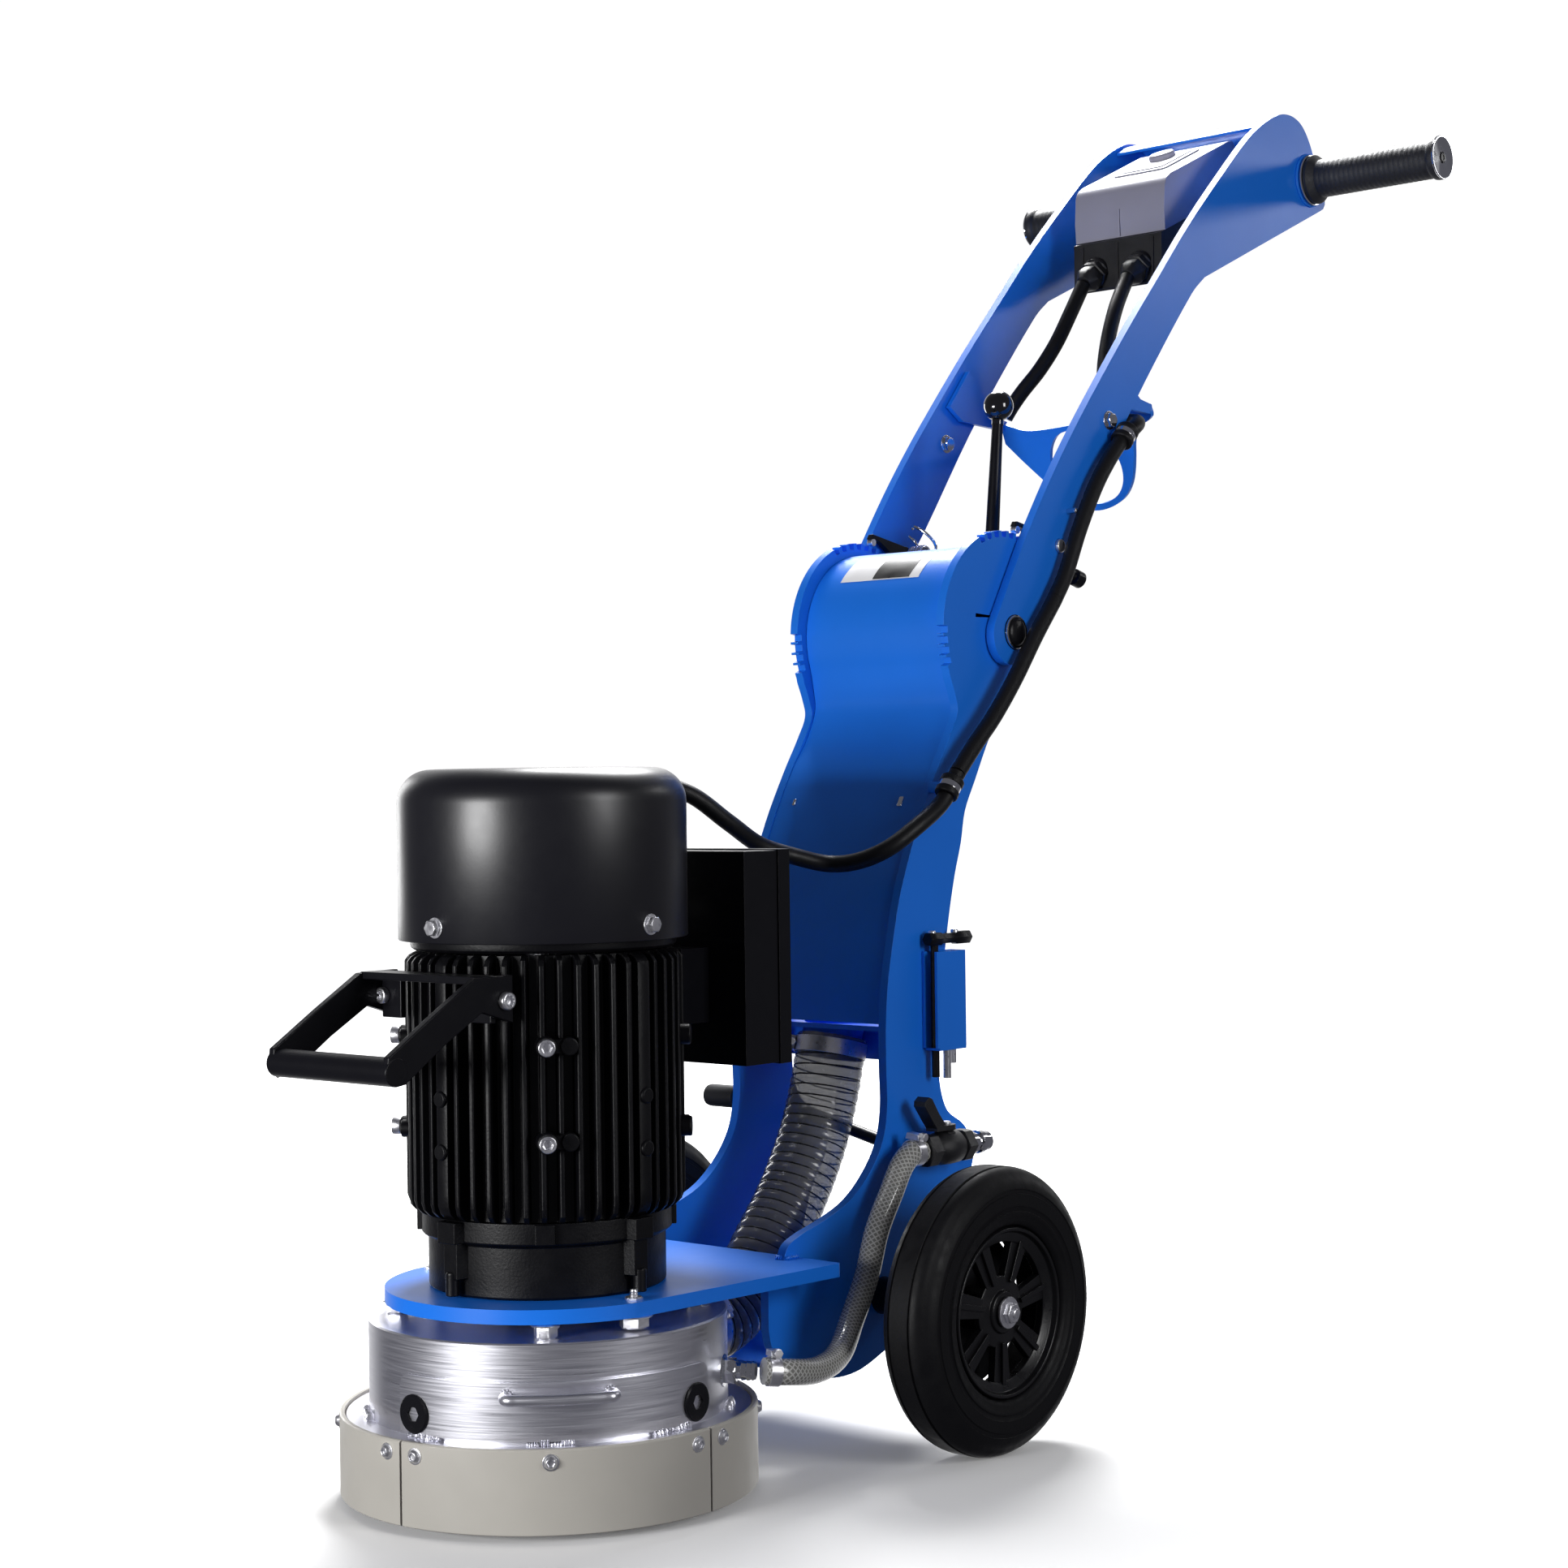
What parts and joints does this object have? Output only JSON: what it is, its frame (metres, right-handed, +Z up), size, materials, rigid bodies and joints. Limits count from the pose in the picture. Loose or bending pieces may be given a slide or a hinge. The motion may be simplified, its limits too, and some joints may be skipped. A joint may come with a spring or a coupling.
{
  "type": "concrete floor grinder",
  "caption": "Walk-behind concrete floor grinder with a vertical motor on a skirted disc guard, a wheeled column and a long folding handle.",
  "frame": {"origin": "centre of the machine's footprint box, on the floor", "axes": "+Z up, +Y from the grinding head towards the handle, +X to the side that carries the water valve"},
  "size_m": [0.478, 1.204, 1.1691],
  "materials": {
    "blue_paint": "glossy",
    "black_paint": "semi-gloss",
    "guard_aluminium": "brushed",
    "bright_steel": "zinc plated",
    "cast_metal": "as cast",
    "diamond_shoe": "sintered",
    "copper_winding": "varnished",
    "skirt_plastic": "satin",
    "black_plastic": "satin",
    "black_rubber": "matt",
    "tyre_rubber": "satin",
    "clear_hose": "clear",
    "pale_cover": "satin",
    "red_button": "gloss",
    "green_button": "gloss",
    "motor_casting": "black paint"
  },
  "bodies": {
    "chassis": {"base_plate": "blue_paint", "guard_drum": "guard_aluminium", "skirt_1": "skirt_plastic", "skirt_2": "skirt_plastic", "skirt_3": "skirt_plastic", "skirt_4": "skirt_plastic", "motor_housing": "motor_casting", "motor_flange": "motor_casting", "end_shield": "motor_casting", "stator_core": "copper_winding", "bearing_bottom": "bright_steel", "bearing_top": "bright_steel", "fan_cover": "black_paint", "terminal_box": "black_paint", "front_handle": "black_paint", "side_plate_right": "blue_paint", "side_plate_left": "blue_paint", "column_sheet": "blue_paint", "dust_port": "blue_paint", "pivot_shaft": "black_paint", "storage_peg": "black_plastic", "tool_holder": "blue_paint", "axle": "bright_steel", "vacuum_hose": "clear_hose", "water_hose": "clear_hose", "valve_body": "bright_steel", "motor_cable": "black_rubber", "bridge_cable": "black_rubber", "column_clamp": "black_plastic"},
    "rotor": {"motor_shaft": "bright_steel", "drive_hub": "cast_metal", "grinding_disc": "cast_metal", "diamond_shoe_1": "diamond_shoe", "diamond_shoe_2": "diamond_shoe", "diamond_shoe_3": "diamond_shoe", "rotor_core": "bright_steel", "cooling_fan": "black_plastic"},
    "wheel_right": {"tyre_right": "tyre_rubber", "rim_right": "black_plastic"},
    "wheel_left": {"tyre_left": "tyre_rubber", "rim_left": "black_plastic"},
    "handle": {"arm_right": "blue_paint", "arm_left": "blue_paint", "cross_plate": "blue_paint", "hanger_plate": "blue_paint", "handlebar": "bright_steel", "grip_right": "black_plastic", "grip_left": "black_plastic", "control_base": "black_plastic", "control_cover": "pale_cover", "supply_lead": "black_rubber", "handle_cable": "black_rubber", "arm_clamp": "black_plastic", "latch_spring": "bright_steel"},
    "latch_lever": {"latch": "black_paint"},
    "valve_handle": {"valve_lever": "black_plastic"},
    "door": {"guard_door": "guard_aluminium"},
    "key": {"hex_key": "black_paint"},
    "start": {"start_button": "green_button"},
    "stop": {"stop_button": "red_button"}
  },
  "joints": [
    {"name": "disc_spin", "type": "hinge", "parent": "chassis", "child": "rotor", "pos_m": [0, -0.392, 0.1], "axis": [0, 0, 1], "continuous": true},
    {"name": "wheel_right_spin", "type": "hinge", "parent": "chassis", "child": "wheel_right", "pos_m": [0.19, -0.102, 0.112], "axis": [1, 0, 0], "continuous": true},
    {"name": "wheel_left_spin", "type": "hinge", "parent": "chassis", "child": "wheel_left", "pos_m": [-0.19, -0.102, 0.112], "axis": [1, 0, 0], "continuous": true},
    {"name": "handle_fold", "type": "hinge", "parent": "chassis", "child": "handle", "pos_m": [0, 0.076, 0.65], "axis": [1, 0, 0], "range_deg": [0, 121], "deforming": ["bridge_cable"]},
    {"name": "latch_swing", "type": "hinge", "parent": "handle", "child": "latch_lever", "pos_m": [0, 0.142, 0.727], "axis": [1, 0, 0], "range_deg": [-8, 6.8], "stiffness_Nm_per_rad": 2, "deforming": ["latch_spring"]},
    {"name": "water_valve", "type": "hinge", "parent": "chassis", "child": "valve_handle", "pos_m": [0.104, -0.042, 0.24], "axis": [0, 0, 1], "range_deg": [0, 90]},
    {"name": "door_removal", "type": "slide", "parent": "chassis", "child": "door", "axis": [0.7547, -0.6561, 0], "range_m": [0, 0.06]},
    {"name": "hex_key_lift", "type": "slide", "parent": "chassis", "child": "key", "axis": [0, 0, 1], "range_m": [0, 0.08]},
    {"name": "start_press", "type": "slide", "parent": "handle", "child": "start", "axis": [0, -1, 0], "range_m": [0, 0.004], "stiffness_N_per_m": 300},
    {"name": "stop_press", "type": "slide", "parent": "handle", "child": "stop", "axis": [0, -1, 0], "range_m": [0, 0.004], "stiffness_N_per_m": 300}
  ]
}
